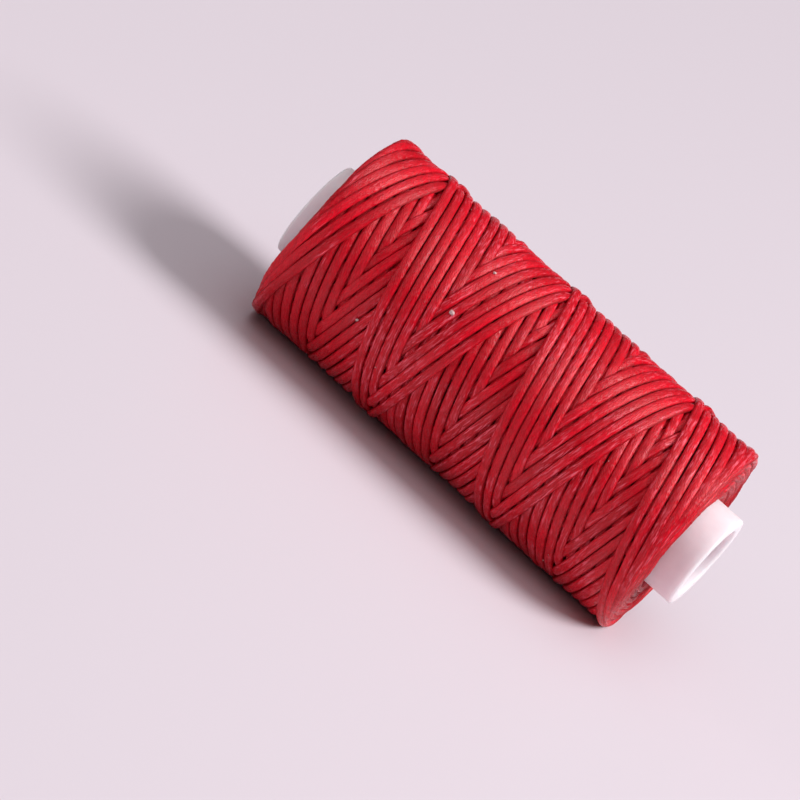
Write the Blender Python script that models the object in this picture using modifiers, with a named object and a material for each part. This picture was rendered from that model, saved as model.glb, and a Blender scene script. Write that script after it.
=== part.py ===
"""Waxed thread spool.

A straight plastic core tube carries one long flat waxed thread, wound to and fro in crossing
turns into a plain cylinder with no flanges, so the tube stands out of the winding at both ends.
The spool lies on its side with its axis along +X. z = 0 is the surface it rests on, and the
origin is under the middle of the tube.
"""

import math

import bpy

# Driving dimensions, in metres.
WINDING_DIAMETER = 0.028
WINDING_LENGTH = 0.0582
WINDING_RIM_RADIUS = 0.0011
TUBE_DIAMETER = 0.0133
TUBE_BORE = 0.0100
TUBE_STANDS_OUT_FRONT = 0.0038  # past the winding, at the +X end
TUBE_STANDS_OUT_BACK = 0.0026  # past the winding, at the -X end
TUBE_LIP_RADIUS = 0.00045
TUBE_MOUTH_CHAMFER = 0.00035
THREAD_THICKNESS = 0.0008  # across the loose end, with its flat sides evened out
PIECE_GAP = 0.0003

# The loose end of the thread lies along the back of the winding, a little below its top.
# Heights are angles round the axis, measured from the +Y side up towards the top.
TAIL_START_X = 0.0010
TAIL_END_X = 0.0130
TAIL_START_ANGLE = math.radians(26)
TAIL_END_ANGLE = math.radians(43)
TAIL_LIFT = 0.00025  # how far the tip stands off beyond the gap

WINDING_FLATS = 28  # few enough for the spool to rest on one without rolling, as on real strands
TUBE_SEGMENTS = 64
ARC_STEPS = 4
TAIL_STEPS = 12

# Worked out from the above.
WINDING_RADIUS = WINDING_DIAMETER / 2
TUBE_RADIUS = TUBE_DIAMETER / 2
TUBE_LENGTH = WINDING_LENGTH + TUBE_STANDS_OUT_FRONT + TUBE_STANDS_OUT_BACK
TUBE_END = TUBE_LENGTH / 2
WINDING_FRONT = TUBE_END - TUBE_STANDS_OUT_FRONT
WINDING_BACK = -TUBE_END + TUBE_STANDS_OUT_BACK
# The winding's diameter is across its flats, one of which lies on the ground.
CORNER_SCALE = 1 / math.cos(math.pi / WINDING_FLATS)
AXIS_HEIGHT = WINDING_RADIUS


def clear_scene():
    for obj in list(bpy.data.objects):
        bpy.data.objects.remove(obj, do_unlink=True)


def make_collection(name):
    collection = bpy.data.collections.new(name)
    bpy.context.scene.collection.children.link(collection)
    return collection


def make_material(name, colour, roughness):
    material = bpy.data.materials.new(name)
    material.use_nodes = True
    shader = material.node_tree.nodes["Principled BSDF"]
    shader.inputs["Base Color"].default_value = (*colour, 1.0)
    shader.inputs["Roughness"].default_value = roughness
    shader.inputs["Metallic"].default_value = 0.0
    return material


def corner_arc(radius, along, size, start, end):
    """Points (radius, along) of a quarter circle about a centre, between two angles."""
    angles = [start + (end - start) * step / ARC_STEPS for step in range(ARC_STEPS + 1)]
    return [(radius + size * math.cos(a), along + size * math.sin(a)) for a in angles]


def turned_piece(name, profile, segments, collection, axis, material):
    """A ring turned from a closed outline of (radius, along the axis) points, given outside first."""
    mesh = bpy.data.meshes.new(name)
    points = [(radius, 0.0, along) for radius, along in profile]
    edges = [(i, (i + 1) % len(points)) for i in range(len(points))]
    mesh.from_pydata(points, edges, [])
    mesh.materials.append(material)
    piece = bpy.data.objects.new(name, mesh)
    collection.objects.link(piece)
    piece.parent = axis
    # Half a segment round, so that a flat and not an edge is at the bottom.
    piece.rotation_euler.z = math.pi / segments
    screw = piece.modifiers.new("turn", "SCREW")
    screw.axis = "Z"
    screw.angle = 2 * math.pi
    screw.steps = segments
    screw.render_steps = segments
    screw.use_merge_vertices = True
    screw.merge_threshold = 0.00001
    screw.use_smooth_shade = True
    return piece


def make_core_tube(collection, axis):
    """The straight moulded tube, with rounded outer lips and chamfered mouths."""
    outer = TUBE_RADIUS
    inner = TUBE_BORE / 2
    lip = TUBE_LIP_RADIUS
    mouth = TUBE_MOUTH_CHAMFER
    profile = corner_arc(outer - lip, TUBE_END - lip, lip, math.pi / 2, 0)
    profile += corner_arc(outer - lip, -TUBE_END + lip, lip, 0, -math.pi / 2)
    profile += [
        (inner + mouth, -TUBE_END),
        (inner, -TUBE_END + mouth),
        (inner, TUBE_END - mouth),
        (inner + mouth, TUBE_END),
    ]
    plastic = make_material("white_plastic", (0.84, 0.79, 0.80), 0.42)
    return turned_piece("core_tube", profile, TUBE_SEGMENTS, collection, axis, plastic)


def make_wound_thread(collection, axis, waxed_thread):
    """All the wound turns as one ring round the tube, with soft rims where they turn back."""
    outer = WINDING_RADIUS * CORNER_SCALE
    inner = (TUBE_RADIUS + PIECE_GAP) * CORNER_SCALE
    rim = WINDING_RIM_RADIUS
    profile = corner_arc(outer - rim, WINDING_FRONT - rim, rim, math.pi / 2, 0)
    profile += corner_arc(outer - rim, WINDING_BACK + rim, rim, 0, -math.pi / 2)
    profile += [(inner, WINDING_BACK), (inner, WINDING_FRONT)]
    return turned_piece(
        "wound_thread", profile, WINDING_FLATS, collection, axis, waxed_thread
    )


def tail_point(share):
    """A point on the middle line of the loose end, from its tucked end (0) to its tip (1)."""
    eased = share * share * (3 - 2 * share)
    angle = TAIL_START_ANGLE + (TAIL_END_ANGLE - TAIL_START_ANGLE) * eased
    radius = WINDING_RADIUS + PIECE_GAP + THREAD_THICKNESS / 2 + TAIL_LIFT * share**2
    x = TAIL_START_X + (TAIL_END_X - TAIL_START_X) * share
    return (x, radius * math.cos(angle), AXIS_HEIGHT + radius * math.sin(angle))


def make_thread_tail(collection, waxed_thread):
    """The free outer end of the thread, lying over the turns it was tucked under."""
    curve = bpy.data.curves.new("thread_tail", "CURVE")
    curve.dimensions = "3D"
    curve.bevel_depth = THREAD_THICKNESS / 2
    curve.bevel_resolution = 2
    curve.use_fill_caps = True
    spline = curve.splines.new("POLY")
    spline.points.add(TAIL_STEPS)
    for index, point in enumerate(spline.points):
        point.co = (*tail_point(index / TAIL_STEPS), 1.0)
    curve.materials.append(waxed_thread)
    tail = bpy.data.objects.new("thread_tail", curve)
    collection.objects.link(tail)
    return tail


def main():
    clear_scene()
    spool = make_collection("waxed_thread_spool")
    # The turned pieces are drawn about +Z, and this empty lays them along +X.
    axis = bpy.data.objects.new("spool_axis", None)
    axis.location = (0.0, 0.0, AXIS_HEIGHT)
    axis.rotation_euler = (0.0, math.pi / 2, 0.0)
    spool.objects.link(axis)
    make_core_tube(spool, axis)
    make_wound_thread(
        spool, axis, make_material("waxed_thread_winding", (0.56, 0.02, 0.045), 0.45)
    )
    make_thread_tail(
        spool, make_material("waxed_thread_tail", (0.56, 0.02, 0.045), 0.45)
    )


main()
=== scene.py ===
"""The looks of a waxed thread spool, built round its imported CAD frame.

The whole winding is laid turn by turn, as a winding machine lays it: the thread runs to and fro
along the spool at a constant lead, turns back at each rim, and each turn lies on what is under it.
The turns that show are then made as flat, rounded strands.
"""

import math
import types

import bpy
import numpy as np
from mathutils import Matrix, Vector


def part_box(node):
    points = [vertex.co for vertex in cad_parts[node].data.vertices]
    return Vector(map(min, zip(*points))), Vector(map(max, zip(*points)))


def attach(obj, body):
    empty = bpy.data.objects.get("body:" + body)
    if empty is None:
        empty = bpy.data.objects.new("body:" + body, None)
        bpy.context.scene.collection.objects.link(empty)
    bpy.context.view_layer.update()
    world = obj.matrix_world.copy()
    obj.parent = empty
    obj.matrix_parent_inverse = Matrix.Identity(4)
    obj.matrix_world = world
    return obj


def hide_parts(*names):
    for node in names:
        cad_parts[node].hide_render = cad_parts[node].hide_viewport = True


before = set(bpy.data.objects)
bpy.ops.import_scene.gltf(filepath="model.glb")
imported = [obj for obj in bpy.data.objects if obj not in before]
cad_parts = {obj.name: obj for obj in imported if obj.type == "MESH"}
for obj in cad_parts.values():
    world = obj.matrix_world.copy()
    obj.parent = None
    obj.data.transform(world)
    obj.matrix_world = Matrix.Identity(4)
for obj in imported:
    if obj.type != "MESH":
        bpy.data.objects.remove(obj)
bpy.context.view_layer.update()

MM = 0.001

# Places, from the frame.
WINDING_LOW, WINDING_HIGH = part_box("wound_thread")
TUBE_LOW, TUBE_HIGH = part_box("core_tube")
AXIS_HEIGHT = (TUBE_LOW.z + TUBE_HIGH.z) / 2
WINDING_RADIUS = (WINDING_HIGH.z - WINDING_LOW.z) / 2
WINDING_BACK, WINDING_FRONT = WINDING_LOW.x, WINDING_HIGH.x
MIDDLE_X = (WINDING_BACK + WINDING_FRONT) / 2
TUBE_RADIUS = (TUBE_HIGH.z - TUBE_LOW.z) / 2

# The thread.
STRAND_WIDTH = 1.27 * MM
STRAND_THICKNESS = 0.70 * MM
SECTION_HEIGHT = 0.84 * MM  # of a strand's section, whose underside is sunk in what is beneath
STRAND_SQUARENESS = 2.45  # 2 is an ellipse, more is boxier

# How it is wound.
LEAD = 20.16 * MM  # along the spool, per turn
TURNS_PER_CYCLE = 5.9306  # from the back rim to the front and back again
TURN_BACK = 0.143  # turns either side of a rim over which the thread curves
GROWTH = 0.0625 * MM  # of radius, per cycle
RECENT_CYCLES = 46  # cycles that can show on the outside
CAMERA_SIDE = math.radians(160)  # round from +Y by +Z: winding angles run from here over the top
NEWEST_CROSSING = 1.44  # radians up from the camera side, where the last two passes cross

# The grid on which it is laid.
STATIONS = 880  # per turn
CELL = 0.1 * MM
SPARE = 1.0 * MM  # beyond each rim
POINTS_ACROSS = 17  # a strand's width

# How its course and size vary. A spacing is the stations over which a value changes.
WANDER, WANDER_SPACING = 0.030, 130  # in mm along the spool
SLOW_WANDER, SLOW_WANDER_SPACING = 0.06, 520
STEADIER_AT_RIM = 0.6  # share of the wander that is lost at a rim
OVERSHOOT, MOST_OVERSHOOT = 0.10, 0.22  # in mm, of the turns at the rims
OVERSHOOT_REACH = 0.22  # turns
BEADS, BEAD_SPACING = 0.025, 3.2  # as shares of the strand's size, down to here
WIDTH_CHANGE, WIDTH_SPACING = 0.045, 90
THICKNESS_CHANGE, THICKNESS_SPACING = 0.06, 60
TONE_SPACING = 1500

# How a strand settles on what is under it.
FELT = np.linspace(-0.46, 0.46, 9)  # places across it, in widths, that feel what is beneath
HELD_BY_HIGHEST, HELD_BY_MEAN = 0.55, 0.45  # shares of its height that these decide
STIFFNESS = 26  # stations over which its height is smoothed
BRIDGING = 6  # stations either side of a high point that it spans
LEAN_STIFFNESS = 30
LEAN_SPAN = 0.61  # widths over which the two sides' difference in height acts
LEAN_SHARE, MOST_LEAN = 0.6, 0.35
JOINED = 12  # stations over which a traverse takes up the height that the last one ended at
CROWN_DROP, CROWN_POWER = 0.75, 3  # shape of the top it offers to the next strand
RELIEF = 0.62  # how much of a stacked strand's height is left once wax and tension settle it
EVENING = 0.85  # how much of the wide ridges and hollows tension evens out
EVENING_REACH = 14  # cells
EVENING_DEPTH = 3.0 * MM  # from the outside, over which that fades out
FULL_RADIUS_BELOW = 0.80  # share of the surface that lies below the winding's full radius

SEED = 4
rng = np.random.default_rng(SEED)


def smooth_noise(count, spacing):
    """Smooth noise of about unit size, one value per station, changing over spacing stations."""
    knots = rng.standard_normal(int(count / spacing) + 4)
    place = np.arange(count) / spacing
    low = place.astype(int)
    share = place - low
    share = share * share * (3 - 2 * share)
    return knots[low] * (1 - share) + knots[low + 1] * share


def blur(values, reach):
    """The values smoothed over reach places each way."""
    kernel = np.hanning(2 * reach + 3)[1:-1]
    return np.convolve(np.pad(values, reach, mode="edge"), kernel / kernel.sum(), mode="valid")


def running_max(values, reach):
    """The highest value within reach places each way."""
    padded = np.pad(values, reach, mode="edge")
    return np.max([padded[k : k + len(values)] for k in range(2 * reach + 1)], axis=0)


class Thread:
    """The middle line of the whole thread, station by station, in winding coordinates."""

    def __init__(self, inner, outer):
        cycles = int((outer - inner) / GROWTH)
        turns = cycles * TURNS_PER_CYCLE
        self.count = int(turns * STATIONS)
        turn = np.arange(self.count) / STATIONS
        share = turn / TURNS_PER_CYCLE
        to_front = np.abs(share - np.floor(share) - 0.5) * TURNS_PER_CYCLE
        to_back = TURNS_PER_CYCLE / 2 - to_front
        self.traverse = np.floor(share * 2).astype(int)
        self.x = self.place_along(share, to_front, to_back)
        # The last pass to the front is halfway along the spool at this turn.
        middle_turn = (cycles - 1 + 0.25) * TURNS_PER_CYCLE
        self.angle = 2 * np.pi * (turn - middle_turn) + NEWEST_CROSSING
        self.base_radius = inner + (outer - inner) * turn / turns
        beads = BEADS * smooth_noise(self.count, BEAD_SPACING)
        width_change = WIDTH_CHANGE * smooth_noise(self.count, WIDTH_SPACING)
        thickness_change = THICKNESS_CHANGE * smooth_noise(self.count, THICKNESS_SPACING)
        self.width = STRAND_WIDTH * (1 + width_change + beads)
        self.thickness = SECTION_HEIGHT * (1 + thickness_change + beads)
        self.tone = smooth_noise(self.count, TONE_SPACING)

    def place_along(self, share, to_front, to_back):
        """Where along the spool each station lies: a zigzag with rounded turns and some wander."""
        reach = TURNS_PER_CYCLE / 4 * LEAD

        def fold(turns):
            curved = TURN_BACK / 2 + turns**2 / (2 * TURN_BACK)
            return LEAD * np.where(turns > TURN_BACK, turns, curved)

        near_front = MIDDLE_X + reach - fold(to_front)
        near_back = MIDDLE_X - reach + fold(to_back)
        x = np.where(to_front < to_back, near_front, near_back)
        near_rim = np.exp(-((np.minimum(to_front, to_back) / OVERSHOOT_REACH) ** 2))
        reversal = np.round(share * 2).astype(int)
        overshoot = rng.normal(0, OVERSHOOT, reversal.max() + 1)
        overshoot = np.clip(overshoot, -MOST_OVERSHOOT, MOST_OVERSHOOT) * MM
        x += overshoot[reversal] * near_rim
        wander = WANDER * smooth_noise(self.count, WANDER_SPACING)
        wander = wander + SLOW_WANDER * smooth_noise(self.count, SLOW_WANDER_SPACING)
        return x + wander * MM * (1 - STEADIER_AT_RIM * near_rim)


class Surface:
    """A height field over the winding: rows along the spool, columns round it."""

    def __init__(self):
        self.start = WINDING_BACK - SPARE
        rows = int((WINDING_FRONT - WINDING_BACK + 2 * SPARE) / CELL) + 1
        self.heights = np.zeros((rows, STATIONS))

    def cells(self, x, angle):
        """The row and the column of each place."""
        row = np.clip(np.round((x - self.start) / CELL).astype(int), 0, len(self.heights) - 1)
        return row, np.round(angle / (2 * np.pi) * STATIONS).astype(int) % STATIONS

    def raise_to(self, x, angle, heights):
        """Raises what lies lower to the heights given, in two columns so that no gap is left."""
        row, column = self.cells(x, angle)
        for step in (0, 1):
            np.maximum.at(self.heights, (row, (column + step) % STATIONS), heights)


def across_strand(x, angle, radius):
    """How x and the angle change per metre across the strand, within the surface."""
    step_x = np.gradient(x)
    step_round = radius * np.gradient(angle)
    step = np.hypot(step_x, step_round)
    return step_round / step, -step_x / step / radius


def spread(x, angle, along, around, offsets):
    """Places across a strand, at the offsets given from its middle line."""
    return x[:, None] + np.outer(along, offsets), angle[:, None] + np.outer(around, offsets)


def strand_length(thread):
    """The length of thread up to each station."""
    return np.cumsum(np.hypot(np.gradient(thread.x), thread.radius * np.gradient(thread.angle)))


def lay_thread(thread):
    """Each station's height over the mean surface that it was laid on, and its tilt."""
    surface = Surface()
    bottom = np.zeros(thread.count)
    tilt = np.zeros(thread.count)
    felt = FELT * STRAND_WIDTH
    side = len(FELT) // 3
    covered = np.linspace(-0.5, 0.5, POINTS_ACROSS) * STRAND_WIDTH
    drop = CROWN_DROP * np.abs(covered / (0.5 * STRAND_WIDTH)) ** CROWN_POWER
    crown = STRAND_THICKNESS * (1 - drop)
    starts = np.flatnonzero(np.diff(thread.traverse, prepend=-1))
    height = 0.0
    for start, end in zip(starts, np.append(starts[1:], thread.count)):
        x = thread.x[start:end]
        angle = thread.angle[start:end]
        along, around = across_strand(x, angle, thread.base_radius[start:end])
        under = surface.heights[surface.cells(*spread(x, angle, along, around, felt))]
        rest = HELD_BY_HIGHEST * under.max(axis=1) + HELD_BY_MEAN * under.mean(axis=1)
        rise = under[:, -side:].mean(axis=1) - under[:, :side].mean(axis=1)
        lean = rise / (LEAN_SPAN * STRAND_WIDTH)
        if start:
            rest[:JOINED] = np.linspace(height, rest[JOINED], JOINED)
        rest = blur(running_max(rest, BRIDGING), STIFFNESS)
        lean = LEAN_SHARE * np.clip(blur(lean, LEAN_STIFFNESS), -MOST_LEAN, MOST_LEAN)
        top = rest[:, None] + np.outer(lean, covered) + crown
        surface.raise_to(*spread(x, angle, along, around, covered), top)
        growth = surface.heights.mean(axis=1)
        surface.heights -= growth[:, None]
        row, _ = surface.cells(x[-1], angle[-1])
        height = rest[-1] - growth[row]
        bottom[start:end] = rest
        tilt[start:end] = lean
    return bottom, tilt


def outer_side(thread, stations, share=1.0):
    """Places and radii of points across the outer side of the strand, at the stations given."""
    offsets = np.linspace(-0.5, 0.5, POINTS_ACROSS) * share * STRAND_WIDTH
    crown = 0.5 * (1 - np.abs(offsets / (0.5 * STRAND_WIDTH)) ** STRAND_SQUARENESS)
    along, around = across_strand(thread.x, thread.angle, thread.radius)
    lines = (thread.x, thread.angle, along, around)
    x, angle = spread(*(line[stations] for line in lines), offsets)
    radius = thread.radius[stations, None] + np.outer(thread.tilt[stations], offsets)
    return x, angle, radius + thread.thickness[stations, None] * crown


def first_recent(thread):
    """The first station of the turns that can show on the outside."""
    return thread.count - int(RECENT_CYCLES * TURNS_PER_CYCLE * STATIONS)


def outer_surface(thread):
    """The winding's outside, as the recent turns leave it."""
    surface = Surface()
    surface.raise_to(*outer_side(thread, np.arange(first_recent(thread), thread.count)))
    return surface


def local_mean(values, known, reach):
    """The mean round each cell of the known values only, over reach cells each way."""
    weights = np.hanning(2 * reach + 3)[1:-1]
    sums = []
    for field in (values * known, known.astype(float)):
        field = np.pad(field, ((reach, reach), (0, 0)))
        for axis in (0, 1):
            shifts = range(-reach, reach + 1)
            field = sum(w * np.roll(field, k, axis) for w, k in zip(weights, shifts))
        sums.append(field[reach:-reach])
    return sums[0] / np.maximum(sums[1], 1e-9)


def wind_spool():
    """The thread with the radius of its middle line and its tilt at each station."""
    inner = TUBE_RADIUS + STRAND_THICKNESS
    thread = Thread(inner, WINDING_RADIUS - STRAND_THICKNESS)
    bottom, thread.tilt = lay_thread(thread)
    thread.radius = np.maximum(thread.base_radius + RELIEF * bottom, inner)
    outermost = np.clip((thread.base_radius - WINDING_RADIUS) / EVENING_DEPTH + 1, 0, 1)
    # Tension evens out wide ridges and hollows, and the highest strands reach the full radius.
    surface = outer_surface(thread)
    known = surface.heights > 0
    wide = local_mean(surface.heights, known, EVENING_REACH)
    row, column = surface.cells(thread.x, thread.angle)
    thread.radius -= EVENING * (wide[row, column] - WINDING_RADIUS) * outermost
    highest = np.quantile(outer_surface(thread).heights[known], FULL_RADIUS_BELOW)
    thread.radius += (WINDING_RADIUS - highest) * outermost
    thread.length = strand_length(thread)
    return thread


# ---- meshes

SECTION_STEP = 2  # stations from one cross-section to the next
RIM_STEP = 3  # sections from one to the next in the turns inside the rims
SECTION_SIDES = 12
HIDDEN_BY = 0.07 * MM  # a strand lying this far under the outermost one doesn't show
SEEN_SHARE = 0.8  # of a strand's width, where that is tested
RIM_BAND = 1.0 * MM  # turns this near to a rim are made at every depth, for the end faces show them
MARGIN = 5  # sections kept past what shows, so that a strand ends under another
FEWEST_SECTIONS = 8
MOST_PATTERN_SHIFT = 40  # mm, of the fibre pattern from one strand to the next


def shown_runs(thread):
    """Runs of stations to be made into strands: those on the outside, then those in the rims."""
    surface = outer_surface(thread)
    sections = np.arange(0, thread.count - 1, SECTION_STEP)
    shown = np.zeros(len(sections), bool)
    late = sections >= first_recent(thread)
    x, angle, radius = outer_side(thread, sections[late], SEEN_SHARE)
    row, column = surface.cells(x, angle)
    shown[late] = (radius > surface.heights[row, column] - HIDDEN_BY).any(axis=1)
    beyond = np.maximum(
        WINDING_BACK + RIM_BAND + STRAND_WIDTH / 2 - thread.x[sections],
        thread.x[sections] - WINDING_FRONT + RIM_BAND + STRAND_WIDTH / 2,
    )
    kept = np.convolve(shown | (beyond > 0), np.ones(2 * MARGIN + 1), mode="same") > 0
    edges = np.flatnonzero(np.diff(kept.astype(int), prepend=0, append=0))
    outside, rims = [], []
    for start, end in zip(edges[::2], edges[1::2]):
        if end - start < FEWEST_SECTIONS:
            continue
        if shown[start:end].any():
            outside.append(sections[start:end])
        else:
            rims.append(sections[start:end:RIM_STEP])
    return surface, outside, rims


def strand_rings(thread, stations):
    """The cross-sections' corner points, their places in the strand, and the strand's direction."""
    side = 2 * np.pi * np.arange(SECTION_SIDES) / SECTION_SIDES
    power = 2 / STRAND_SQUARENESS
    across = 0.5 * np.sign(np.cos(side)) * np.abs(np.cos(side)) ** power
    up = 0.5 * np.sign(np.sin(side)) * np.abs(np.sin(side)) ** power
    across = np.outer(thread.width[stations], across)
    up = np.outer(thread.thickness[stations], up)
    turned = CAMERA_SIDE - thread.angle[stations]
    level = np.zeros(len(stations))
    outward = np.stack([level, np.cos(turned), np.sin(turned)], axis=1)
    onward = np.stack([level, np.sin(turned), -np.cos(turned)], axis=1)
    along, around = across_strand(thread.x, thread.angle, thread.radius)
    sideways = onward * (around * thread.radius)[stations, None]
    sideways[:, 0] = along[stations]
    lean = np.arctan(thread.tilt[stations])[:, None]
    side_axis = sideways * np.cos(lean) + outward * np.sin(lean)
    up_axis = outward * np.cos(lean) - sideways * np.sin(lean)
    middle = outward * thread.radius[stations, None]
    middle[:, 0] = thread.x[stations]
    middle[:, 2] += AXIS_HEIGHT
    points = (
        middle[:, None] + across[..., None] * side_axis[:, None] + up[..., None] * up_axis[:, None]
    )
    points[..., 2] = np.maximum(points[..., 2], 0)  # the strands underneath are pressed flat
    return points, across, up, np.cross(side_axis, up_axis)


def mesh_from(name, points, corners, sizes):
    """A smooth mesh from points, the corner list of all faces and each face's corner count."""
    mesh = bpy.data.meshes.new(name)
    mesh.vertices.add(len(points))
    mesh.vertices.foreach_set("co", np.asarray(points, np.float32).ravel())
    mesh.loops.add(len(corners))
    mesh.loops.foreach_set("vertex_index", np.asarray(corners, np.int32))
    mesh.polygons.add(len(sizes))
    starts = np.concatenate([[0], np.cumsum(sizes)[:-1]])
    mesh.polygons.foreach_set("loop_start", starts.astype(np.int32))
    mesh.update(calc_edges=True)
    mesh.validate()
    mesh.shade_smooth()
    return mesh


def store(mesh, name, values):
    """Stores a number or a vector on each point of a mesh, for its material to read."""
    values = np.asarray(values, np.float32)
    kind, field = ("FLOAT_VECTOR", "vector") if values.ndim > 1 else ("FLOAT", "value")
    mesh.attributes.new(name, kind, "POINT").data.foreach_set(field, values.ravel())


def strands_piece(name, thread, runs, material):
    """One piece of many strand lengths, each a closed body."""
    stations = np.concatenate(runs)
    points, across, up, direction = strand_rings(thread, stations)
    lengths = np.array([len(run) for run in runs])
    shifts = MOST_PATTERN_SHIFT * MM * rng.random(len(runs))
    run_starts = np.array([thread.length[run[0]] for run in runs]) - shifts
    length = thread.length[stations] - np.repeat(run_starts, lengths)
    own = np.stack([np.broadcast_to(length[:, None], across.shape), across, up], axis=-1) / MM
    ends = np.cumsum(lengths)
    joins = np.setdiff1d(np.arange(len(stations)), ends - 1)
    ring = np.arange(SECTION_SIDES)
    following = (ring + 1) % SECTION_SIDES
    here = joins[:, None] * SECTION_SIDES
    there = here + SECTION_SIDES
    quads = np.stack([here + ring, here + following, there + following, there + ring], axis=-1)
    first_caps = (ends - lengths)[:, None] * SECTION_SIDES + ring[::-1]
    last_caps = (ends - 1)[:, None] * SECTION_SIDES + ring
    corners = np.concatenate([quads.ravel(), first_caps.ravel(), last_caps.ravel()])
    sizes = np.concatenate([np.full(quads.size // 4, 4), np.full(2 * len(runs), SECTION_SIDES)])
    mesh = mesh_from(name, points.reshape(-1, 3), corners, sizes)
    store(mesh, "strand", own.reshape(-1, 3))
    store(mesh, "direction", np.repeat(direction, SECTION_SIDES, axis=0))
    store(mesh, "tone", np.repeat(thread.tone[stations], SECTION_SIDES))
    mesh.materials.append(material)
    return add_piece(name, mesh)


def add_piece(name, mesh):
    """An object of the mesh, in the scene."""
    piece = bpy.data.objects.new(name, mesh)
    bpy.context.scene.collection.objects.link(piece)
    return piece


def lathe_piece(name, outline, segments, material):
    """A ring turned about the spool's axis from a closed outline of (x, radius) points."""
    angle = 2 * np.pi * np.arange(segments) / segments
    x, radius = np.array(outline).T
    points = np.stack(
        [
            np.broadcast_to(x, (segments, len(x))),
            np.outer(np.cos(angle), radius),
            np.outer(np.sin(angle), radius) + AXIS_HEIGHT,
        ],
        axis=-1,
    )
    index = np.arange(segments * len(x)).reshape(segments, len(x))
    beside = np.roll(index, -1, axis=0)
    quads = np.stack([index, np.roll(index, -1, 1), np.roll(beside, -1, 1), beside], axis=-1)
    mesh = mesh_from(name, points.reshape(-1, 3), quads.ravel(), np.full(quads.size // 4, 4))
    mesh.materials.append(material)
    return add_piece(name, mesh)


# ---- materials


class Nodes:
    """The node tree of a material or world, with each node added and fed in one call."""

    def __init__(self, owner):
        self.owner = owner
        owner.use_nodes = True
        self.tree = owner.node_tree
        self.tree.nodes.clear()

    def add(self, kind, inputs=None, **settings):
        node = self.tree.nodes.new("ShaderNode" + kind)
        for name, value in settings.items():
            setattr(node, name, value)
        for name, value in (inputs or {}).items():
            if isinstance(value, bpy.types.NodeSocket):
                self.tree.links.new(value, node.inputs[name])
            else:
                node.inputs[name].default_value = value
        return node

    def attribute(self, name):
        return self.add("Attribute", attribute_name=name).outputs

    def place(self):
        return self.add("TexCoord").outputs["Object"]

    def math(self, operation, a, b=0.0, c=0.0):
        return self.add("Math", {0: a, 1: b, 2: c}, operation=operation).outputs[0]

    def times(self, a, b):
        return self.math("MULTIPLY", a, b)

    def times_plus(self, a, b, c):
        return self.math("MULTIPLY_ADD", a, b, c)

    def sum(self, *terms):
        total = terms[0]
        for term in terms[1:]:
            total = self.math("ADD", total, term)
        return total

    def vector(self, x, y, z):
        return self.add("CombineXYZ", {"X": x, "Y": y, "Z": z}).outputs[0]

    def noise(self, place, scale, detail=2.0, roughness=0.5):
        inputs = {"Vector": place, "Scale": scale, "Detail": detail, "Roughness": roughness}
        return self.add("TexNoise", inputs).outputs["Fac"]

    def ramp(self, value, low, high, low_out=0.0, high_out=1.0):
        """Goes smoothly from low_out to high_out while the value goes from low to high."""
        inputs = {"Value": value, "From Min": low, "From Max": high}
        inputs |= {"To Min": low_out, "To Max": high_out}
        return self.add("MapRange", inputs, interpolation_type="SMOOTHSTEP").outputs["Result"]

    def mix(self, share, a, b):
        """The colour a with a share of the colour b mixed in."""
        a, b = (c if isinstance(c, bpy.types.NodeSocket) else (*c, 1) for c in (a, b))
        return self.add("Mix", {0: share, 6: a, 7: b}, data_type="RGBA").outputs[2]

    def bump(self, height, distance):
        inputs = {"Height": height, "Distance": distance, "Strength": 1.0}
        return self.add("Bump", inputs).outputs["Normal"]

    def finish(self, **inputs):
        named = {name.replace("_", " "): value for name, value in inputs.items()}
        shader = self.add("BsdfPrincipled", named)
        self.add("OutputMaterial", {"Surface": shader.outputs[0]})
        return self.owner


PLY_PITCH = 0.40  # mm along the strand from one ply to the next
PLY_SLANT = 0.95  # mm along the strand that a ply shifts per mm across it
DEEP_RED, BRIGHT_RED = (0.54, 0.0008, 0.010), (0.78, 0.0015, 0.017)  # of lengths dyed apart
VALLEY_SHADE_RED = (0.34, 0.0006, 0.005)
FIBRE_RED = (0.37, 0.0006, 0.006)
EDGE_SHADE_RED = (0.24, 0.0005, 0.004)
WAX_AND_SHEEN_PINK = (0.94, 0.15, 0.21)


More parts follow.
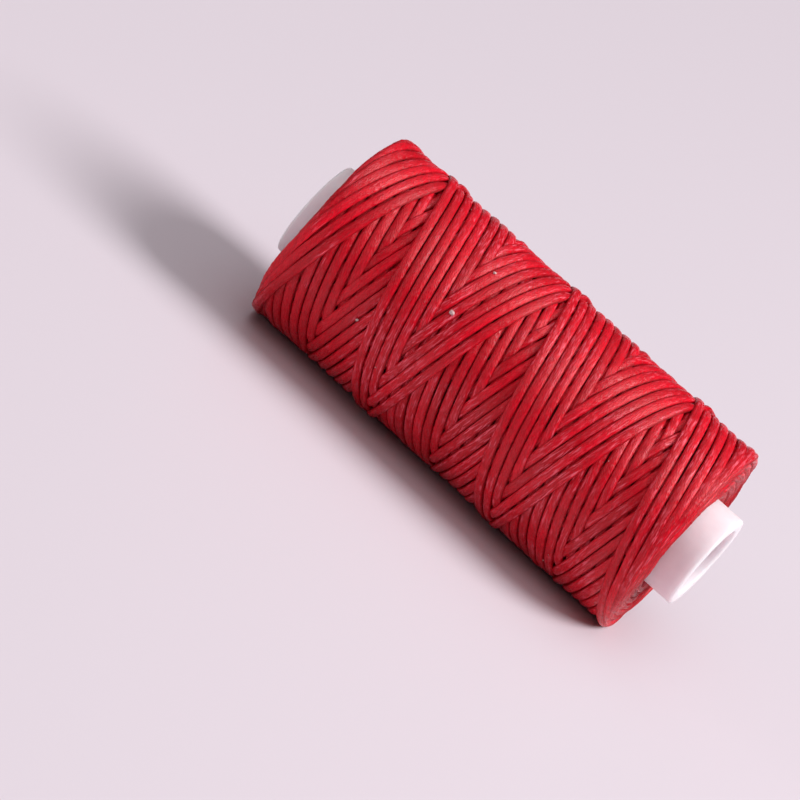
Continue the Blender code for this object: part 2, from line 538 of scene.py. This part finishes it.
def waxed_thread():
    n = Nodes(bpy.data.materials.new("waxed_thread"))
    strand = n.attribute("strand")["Vector"]
    tone = n.attribute("tone")["Fac"]
    direction = n.attribute("direction")["Vector"]
    parts = n.add("SeparateXYZ", {"Vector": strand})
    along, across, up = parts.outputs[0], parts.outputs[1], parts.outputs[2]
    off_middle = n.math("ABSOLUTE", across)

    # Plies twist round the strand: their phase runs along it and slants across it. Between two
    # plies is a valley, which wax fills in places, and which is darkened with painted shade.
    worn = n.noise(n.vector(n.times(along, 0.9), across, up), 1.0, 1.0)
    phase = n.times(n.sum(along, n.times(across, PLY_SLANT), n.times(worn, 0.5)), 1 / PLY_PITCH)
    saw = n.times_plus(n.math("FRACT", phase), 2.0, -1.0)
    valley = n.math("POWER", n.math("ABSOLUTE", saw), 3.0)
    filling = n.noise(n.vector(n.times(along, 0.8), across, up), 1.7, 1.0)
    valley = n.times(valley, n.ramp(filling, 0.4, 0.62))

    # The sides of the strand, where it meets its neighbours, are duller and darkened with painted
    # shade.
    edge = n.ramp(off_middle, 0.50, 0.64)

    # Fibres lie nearly along the strand.
    sideways = n.times_plus(across, 5.0, n.times(along, 0.9))
    fibres = n.noise(n.vector(sideways, along, up), 1.0, 4.0, 0.65)
    ridges = n.noise(n.vector(n.times(across, 7.0), n.times(along, 2.2), up), 1.0, 2.0)

    # Wax hazes the winding in patches, as broken streaks that gather on the strands' shoulders:
    # partly the wax's own bloom, partly a painted highlight and sheen on the shoulders.
    patches = n.ramp(n.noise(n.place(), 130.0, 3.0, 0.6), 0.43, 0.61)
    streak_place = n.vector(n.times(along, 0.75), n.times(across, 6.5), tone)
    streaks = n.ramp(n.noise(streak_place, 1.0, 2.5, 0.58), 0.50, 0.61)
    off_crest = n.ramp(off_middle, 0.06, 0.30, 0.35, 1.0)
    shoulder = n.math("SUBTRACT", off_crest, n.ramp(off_middle, 0.44, 0.56))
    wax_and_sheen = n.times(n.times_plus(patches, 0.70, 0.08), shoulder)
    wax_and_highlight_streaks = n.times(wax_and_sheen, streaks)

    red = n.mix(n.ramp(tone, -1.8, 1.8), DEEP_RED, BRIGHT_RED)
    # painted shade in the valleys between plies
    red = n.mix(n.times(valley, 0.38), red, VALLEY_SHADE_RED)
    red = n.mix(n.ramp(fibres, 0.60, 0.38, 0.0, 0.45), red, FIBRE_RED)
    # painted shade on the strand's sides, where its neighbours meet it
    red = n.mix(n.times(edge, 0.60), red, EDGE_SHADE_RED)
    # wax bloom, and a painted pink highlight and sheen on the strands' shoulders
    colour = n.mix(wax_and_highlight_streaks, red, WAX_AND_SHEEN_PINK)

    height = n.sum(n.times(valley, -0.20), n.times(fibres, 0.45), ridges)
    dull = n.math("SUBTRACT", n.times(fibres, 0.5), n.times(streaks, 0.25))
    roughness = n.times_plus(edge, 0.25, n.ramp(dull, 0.0, 0.30, 0.22, 0.38))
    # The fibres make a strand shine across its width, like combed hair.
    return n.finish(
        Base_Color=colour,
        Roughness=roughness,
        Normal=n.bump(height, 0.11 * MM),
        Specular_IOR_Level=0.28,
        Anisotropic=0.8,
        Anisotropic_Rotation=0.25,
        Tangent=direction,
    )


def under_thread():
    """What shows in the cracks between the strands: more thread, coloured dark as painted shade."""
    n = Nodes(bpy.data.materials.new("waxed_thread_painted_shade"))
    lines = n.noise(n.place(), 900.0, 2.0)
    # painted shade: much darker than the strands' own red
    colour = n.mix(n.ramp(lines, 0.35, 0.65), (0.10, 0.001, 0.004), (0.24, 0.003, 0.010))
    return n.finish(Base_Color=colour, Roughness=0.6, Normal=n.bump(lines, 0.2 * MM))


def moulded_plastic():
    """White plastic, a little translucent, with drag marks along the tube and a rare dark speck."""
    n = Nodes(bpy.data.materials.new("white_plastic"))
    place = n.place()
    mottle = n.ramp(n.noise(place, 170.0, 4.0, 0.6), 0.3, 0.7)
    fine = n.noise(place, 1500.0, 2.0)
    cells = n.add("TexVoronoi", {"Vector": place, "Scale": 260.0}, feature="F1")
    speck = n.ramp(cells.outputs["Distance"], 0.05, 0.075, 1.0, 0.0)
    rare = n.ramp(n.noise(place, 130.0, 0.0), 0.66, 0.7)
    colour = n.mix(mottle, (0.79, 0.725, 0.755), (0.84, 0.80, 0.825))
    colour = n.mix(n.times(speck, n.times(rare, 0.8)), colour, (0.16, 0.08, 0.07))
    stretched = n.add("Mapping", {"Vector": place, "Scale": (0.15, 1, 1)}).outputs[0]
    drag = n.noise(stretched, 700.0, 2.0)
    height = n.sum(n.times(drag, 0.5), n.times(fine, 0.25))
    return n.finish(
        Base_Color=colour,
        Roughness=n.ramp(drag, 0.3, 0.7, 0.42, 0.55),
        Normal=n.bump(height, 0.02 * MM),
        Specular_IOR_Level=0.35,
        Subsurface_Weight=0.85,
        Subsurface_Scale=3.0 * MM,
        Subsurface_Radius=(1.0, 0.8, 0.8),
    )


def wax_lump():
    n = Nodes(bpy.data.materials.new("wax_crumb"))
    lumps = n.noise(n.place(), 2600.0, 3.0)
    colour = n.mix(lumps, (0.55, 0.30, 0.29), (0.78, 0.62, 0.60))
    return n.finish(Base_Color=colour, Roughness=0.5, Normal=n.bump(lumps, 0.08 * MM))


def painted_floor():
    n = Nodes(bpy.data.materials.new("floor"))
    shade = n.noise(n.place(), 6.0, 2.0)
    colour = n.mix(shade, (0.665, 0.607, 0.653), (0.675, 0.617, 0.663))
    return n.finish(Base_Color=colour, Roughness=0.50, Specular_IOR_Level=0.25)


# ---- the winding

OUTER_PIECES = 6
CORE_DEPTH = 1.9 * MM  # of the plain core under the strands
CORE_INSET = 1.1 * MM  # from the rims
CORE_BEVEL = 1.0 * MM
CORE_GAP = 0.02 * MM  # over the tube
CORE_SEGMENTS = 96

thread = wind_spool()
surface, outside_runs, rim_runs = shown_runs(thread)
thread_finish = waxed_thread()


def shared_out(runs, pieces):
    """The runs in order, split into pieces of about the same number of sections."""
    sizes = np.cumsum([len(run) for run in runs])
    groups = np.minimum(sizes * pieces // (sizes[-1] + 1), pieces - 1)
    return [[run for run, group in zip(runs, groups) if group == k] for k in range(pieces)]


def core_outline():
    """The closed outline of the core, which fills the winding under the strands."""
    inner, outer = TUBE_RADIUS + CORE_GAP, WINDING_RADIUS - CORE_DEPTH
    back, front = WINDING_BACK + CORE_INSET, WINDING_FRONT - CORE_INSET
    halfway = 0.3 * CORE_BEVEL
    return [
        (back, inner),
        (back, outer - CORE_BEVEL),
        (back + halfway, outer - halfway),
        (back + CORE_BEVEL, outer),
        (front - CORE_BEVEL, outer),
        (front - halfway, outer - halfway),
        (front, outer - CORE_BEVEL),
        (front, inner),
    ]


winding_pieces = []
for number, runs in enumerate(shared_out(outside_runs, OUTER_PIECES), 1):
    winding_pieces.append(strands_piece(f"winding_turns_{number}", thread, runs, thread_finish))
for end_name, side in (("back", -1), ("front", 1)):
    runs = [run for run in rim_runs if (thread.x[run[0]] - MIDDLE_X) * side > 0]
    winding_pieces.append(strands_piece(f"winding_rim_{end_name}", thread, runs, thread_finish))
core = lathe_piece("winding_core", core_outline(), CORE_SEGMENTS, under_thread())
winding_pieces.append(core)


# ---- the tube

BORE_RADIUS = 5.0 * MM
LIP_RADIUS = 0.35 * MM
OUTER_LIP_STEPS, INNER_LIP_STEPS = 8, 6
TUBE_SEGMENTS = 160


def lip(end, side, wall, way, steps):
    """The rounded edge from an end face to the outer wall (way 1) or the inner wall (way -1)."""
    turns = [math.pi / 2 * step / steps for step in range(steps + 1)]
    return [
        (
            end - side * LIP_RADIUS * (1 - math.cos(turn)),
            wall - way * LIP_RADIUS * (1 - math.sin(turn)),
        )
        for turn in turns
    ]


def tube_outline():
    """The closed outline of the tube's wall, with rounded lips."""
    points = []
    for end, side in ((TUBE_LOW.x, -1), (TUBE_HIGH.x, 1)):
        inside = lip(end, side, BORE_RADIUS, -1, INNER_LIP_STEPS)
        outside = lip(end, side, TUBE_RADIUS, 1, OUTER_LIP_STEPS)
        outline = inside[::-1] + outside
        points += outline if side < 0 else outline[::-1]
    return points


tube = lathe_piece("spool_tube", tube_outline(), TUBE_SEGMENTS, moulded_plastic())


# ---- the thread's loose end

TAIL_STATIONS = 120
TAIL_START = (0.6 * MM, math.radians(22))  # x, and the angle up from +Y, where it leaves the turns
TAIL_END = (13.2 * MM, math.radians(43))
TAIL_BOW = 0.35 * MM  # sideways, in its middle
TAIL_CURL = 1.15  # above 1, it goes round the winding more towards its free end
TAIL_STIFFNESS = 12  # stations over which its height is smoothed
TAIL_SUNK = 0.5 * MM  # where it comes out from under the turns
TAIL_RISE, TAIL_RISEN = 0.76 * MM, 0.12  # until it lies on them, by this share of its length
TAIL_LIFT, TAIL_LIFTING = 0.30 * MM, 0.3  # of its free end, over this share of its length
TAIL_WAVER, TAIL_WAVES = 0.04, 9  # of its width
TAIL_TONE = 0.4
FRAYED = 6  # stations at the free end, which is cut and pressed flat
FRAYED_WIDTHS = (1.03, 1.10)
FRAYED_THICKNESSES = (0.95, 0.6)
TOUCHING = np.linspace(-0.4, 0.4, 5) * MM  # places that hold up what lies on the winding


def surface_height(x, turned):
    """The winding's outer radius at a place given by x and the angle up from +Y."""
    row, column = surface.cells(x + TOUCHING, CAMERA_SIDE - turned + TOUCHING / WINDING_RADIUS)
    return surface.heights[row][:, column].max()


def tail_piece():
    """The loose end: it comes out from between the turns, lies over them and lifts at its tip."""
    share = np.linspace(0, 1, TAIL_STATIONS)
    loose = types.SimpleNamespace()
    bow = TAIL_BOW * np.sin(np.pi * share)
    loose.x = TAIL_START[0] + (TAIL_END[0] - TAIL_START[0]) * share + bow
    turned = TAIL_START[1] + (TAIL_END[1] - TAIL_START[1]) * share**TAIL_CURL
    loose.angle = CAMERA_SIDE - turned
    under = np.array([surface_height(x, angle) for x, angle in zip(loose.x, turned)])
    rest = blur(running_max(under, BRIDGING), TAIL_STIFFNESS)
    rise = np.clip(share / TAIL_RISEN, 0, 1)
    lifted = np.clip((share - 1) / TAIL_LIFTING + 1, 0, 1) ** 2 * TAIL_LIFT
    loose.radius = rest - TAIL_SUNK + rise**2 * (3 - 2 * rise) * TAIL_RISE + lifted
    loose.width = STRAND_WIDTH * (1 + TAIL_WAVER * np.sin(TAIL_WAVES * share))
    loose.width[-FRAYED:] *= np.linspace(*FRAYED_WIDTHS, FRAYED)
    loose.thickness = np.full(TAIL_STATIONS, STRAND_THICKNESS)
    loose.thickness[-FRAYED:] *= np.linspace(*FRAYED_THICKNESSES, FRAYED)
    loose.tilt = np.zeros(TAIL_STATIONS)
    loose.tone = np.full(TAIL_STATIONS, TAIL_TONE)
    loose.length = strand_length(loose)
    return strands_piece("thread_end", loose, [np.arange(TAIL_STATIONS)], thread_finish)


tail = tail_piece()


# ---- wax crumbs

# Each large one is x in mm, degrees up from +Y, and size in mm.
LARGE_CRUMBS = ((-9.2, 153.2, 0.62), (-17.4, 188.8, 0.36), (-9.0, 122.2, 0.40))
SMALL_CRUMBS = 9
SMALL_CRUMB_SIZES = (0.10 * MM, 0.18 * MM)
CRUMB_INSET = 2.0 * MM  # of those from the rims
CRUMB_RINGS, CRUMB_SIDES = 5, 8
CRUMB_ROUGHNESS = 0.28
CRUMB_HEIGHT = 0.75  # of its width
CRUMB_TIP = 0.4  # of its size, from its middle to its top
CRUMB_LIFT = 0.15  # of its size, from the winding to its middle


def crumb_points(x, turned, size):
    """The points and faces of a small rough lump, pressed onto the winding."""
    points = []
    for ring in range(1, CRUMB_RINGS):
        tilt = math.pi * ring / CRUMB_RINGS
        for side in range(CRUMB_SIDES):
            turn = 2 * math.pi * side / CRUMB_SIDES
            rough = 0.5 * size * (1 + CRUMB_ROUGHNESS * rng.standard_normal())
            across = rough * math.sin(tilt) * math.cos(turn)
            onward = rough * math.sin(tilt) * math.sin(turn)
            points.append((across, onward, CRUMB_HEIGHT * rough * math.cos(tilt)))
    points += [(0, 0, CRUMB_TIP * size), (0, 0, -CRUMB_TIP * size)]
    radius = surface_height(x, turned) + CRUMB_LIFT * size
    outward = Vector((0, math.cos(turned), math.sin(turned)))
    round_way = Vector((0, math.sin(turned), -math.cos(turned)))
    centre = Vector((x, 0, AXIS_HEIGHT)) + outward * radius
    placed = [centre + Vector((a, 0, 0)) + round_way * b + outward * c for a, b, c in points]
    top, bottom = len(points) - 2, len(points) - 1
    faces = []
    for side in range(CRUMB_SIDES):
        after = (side + 1) % CRUMB_SIDES
        faces.append((top, side, after))
        for low in range(0, (CRUMB_RINGS - 2) * CRUMB_SIDES, CRUMB_SIDES):
            high = low + CRUMB_SIDES
            faces.append((low + side, high + side, high + after, low + after))
        faces.append((high + side, bottom, high + after))
    return placed, faces


def crumbs_piece():
    spots = [(x * MM, math.radians(turned), size * MM) for x, turned, size in LARGE_CRUMBS]
    for _ in range(SMALL_CRUMBS):
        x = rng.uniform(WINDING_BACK + CRUMB_INSET, WINDING_FRONT - CRUMB_INSET)
        turned = rng.uniform(-math.pi / 3, math.pi * 4 / 3)  # anywhere but underneath
        spots.append((x, turned, rng.uniform(*SMALL_CRUMB_SIZES)))
    points, faces = [], []
    for spot in spots:
        placed, sides = crumb_points(*spot)
        faces += [tuple(len(points) + corner for corner in side) for side in sides]
        points += placed
    mesh = bpy.data.meshes.new("wax_crumbs")
    mesh.from_pydata(points, [], faces)
    mesh.shade_smooth()
    mesh.materials.append(wax_lump())
    return add_piece("wax_crumbs", mesh)


crumbs = crumbs_piece()

for piece in (*winding_pieces, tail, crumbs):
    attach(piece, "root")
for piece in winding_pieces:
    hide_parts("wound_thread")
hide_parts("thread_tail")
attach(tube, "root")
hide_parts("core_tube")


# ---- floor, light and camera

FLOOR_REACH = 4.0
floor_mesh = bpy.data.meshes.new("floor")
floor_corners = [
    (x * FLOOR_REACH, y * FLOOR_REACH, 0) for x, y in ((-1, -1), (1, -1), (1, 1), (-1, 1))
]
floor_mesh.from_pydata(floor_corners, [], [(0, 1, 2, 3)])
floor_mesh.materials.append(painted_floor())
floor = add_piece("floor", floor_mesh)

bpy.context.scene.view_settings.view_transform = "Standard"

CEILING_LIGHT = 1.08
CEILING_FADE = 3.0  # power of the direction's rise, by which the light fades towards the walls
WALL_LIGHT = 0.03
LIGHT_TINT = (1.0, 0.965, 0.985)


def studio_world():
    """Soft light from a bright ceiling that fades towards the walls, before a pale backdrop."""
    n = Nodes(bpy.data.worlds.new("studio"))
    direction = n.add("SeparateXYZ", {"Vector": n.add("TexCoord").outputs["Generated"]})
    rise = n.math("MAXIMUM", direction.outputs["Z"], 0.0)
    level = n.times_plus(n.math("POWER", rise, CEILING_FADE), CEILING_LIGHT, WALL_LIGHT)
    lit = n.add("Background", {"Color": (1.0, 0.955, 0.985, 1), "Strength": level})
    seen = n.add("Background", {"Color": (0.86, 0.79, 0.845, 1), "Strength": 1.0})
    is_seen = n.add("LightPath").outputs["Is Camera Ray"]
    both = n.add("MixShader", {0: is_seen, 1: lit.outputs[0], 2: seen.outputs[0]})
    n.add("OutputWorld", {"Surface": both.outputs[0]})
    return n.owner


def soft_light(name, place, size, power):
    """A round softbox of the size given, facing the spool."""
    light = bpy.data.lights.new(name, "AREA")
    light.shape = "DISK"
    light.size = size
    light.energy = power
    light.color = LIGHT_TINT
    lamp = bpy.data.objects.new(name, light)
    bpy.context.scene.collection.objects.link(lamp)
    lamp.location = place
    aim = Vector((0, 0, AXIS_HEIGHT)) - Vector(place)
    lamp.rotation_euler = aim.to_track_quat("-Z", "Y").to_euler()


bpy.context.scene.world = studio_world()
soft_light("front_end", (0.83, 0.105, 0.86), 0.68, 15.5)
soft_light("back_end", (-1.05, -0.54, 0.15), 0.34, 1.9)
soft_light("camera_side", (0.0, -0.75, 0.94), 0.80, 1.3)

CAMERA_AZIMUTH = math.radians(8.3)  # from straight before the spool's side, towards its front end
CAMERA_RISE = math.radians(20)
CAMERA_ROLL = math.radians(42.2)
FRAME_WIDTH = 96.76 * MM
LENS, SENSOR = 409.0, 36.0  # mm
OFF_CENTRE = (12.84 * MM, 2.25 * MM)  # of the winding's middle in the frame, to the right and up


def place_camera():
    """The camera, far away behind a long lens, so that the spool's lines stay nearly parallel."""
    sin_a, cos_a = math.sin(CAMERA_AZIMUTH), math.cos(CAMERA_AZIMUTH)
    sin_e, cos_e = math.sin(CAMERA_RISE), math.cos(CAMERA_RISE)
    backward = Vector((sin_a * cos_e, -cos_a * cos_e, sin_e))
    level = Vector((1, 0, 0)) - backward * backward.x
    level.normalize()
    steep = backward.cross(level)
    right = level * math.cos(CAMERA_ROLL) + steep * math.sin(CAMERA_ROLL)
    up = steep * math.cos(CAMERA_ROLL) - level * math.sin(CAMERA_ROLL)
    winding_middle = Vector((MIDDLE_X, 0, AXIS_HEIGHT))
    target = winding_middle - right * OFF_CENTRE[0] - up * OFF_CENTRE[1]
    distance = FRAME_WIDTH * LENS / SENSOR
    camera = bpy.data.cameras.new("camera")
    camera.lens = LENS
    camera.sensor_width = SENSOR
    camera.clip_start = 0.1
    camera.clip_end = 20
    view = bpy.data.objects.new("camera", camera)
    bpy.context.scene.collection.objects.link(view)
    axes = Matrix((right, up, backward)).transposed().to_4x4()
    view.matrix_world = Matrix.Translation(target + backward * distance) @ axes
    bpy.context.scene.camera = view


place_camera()
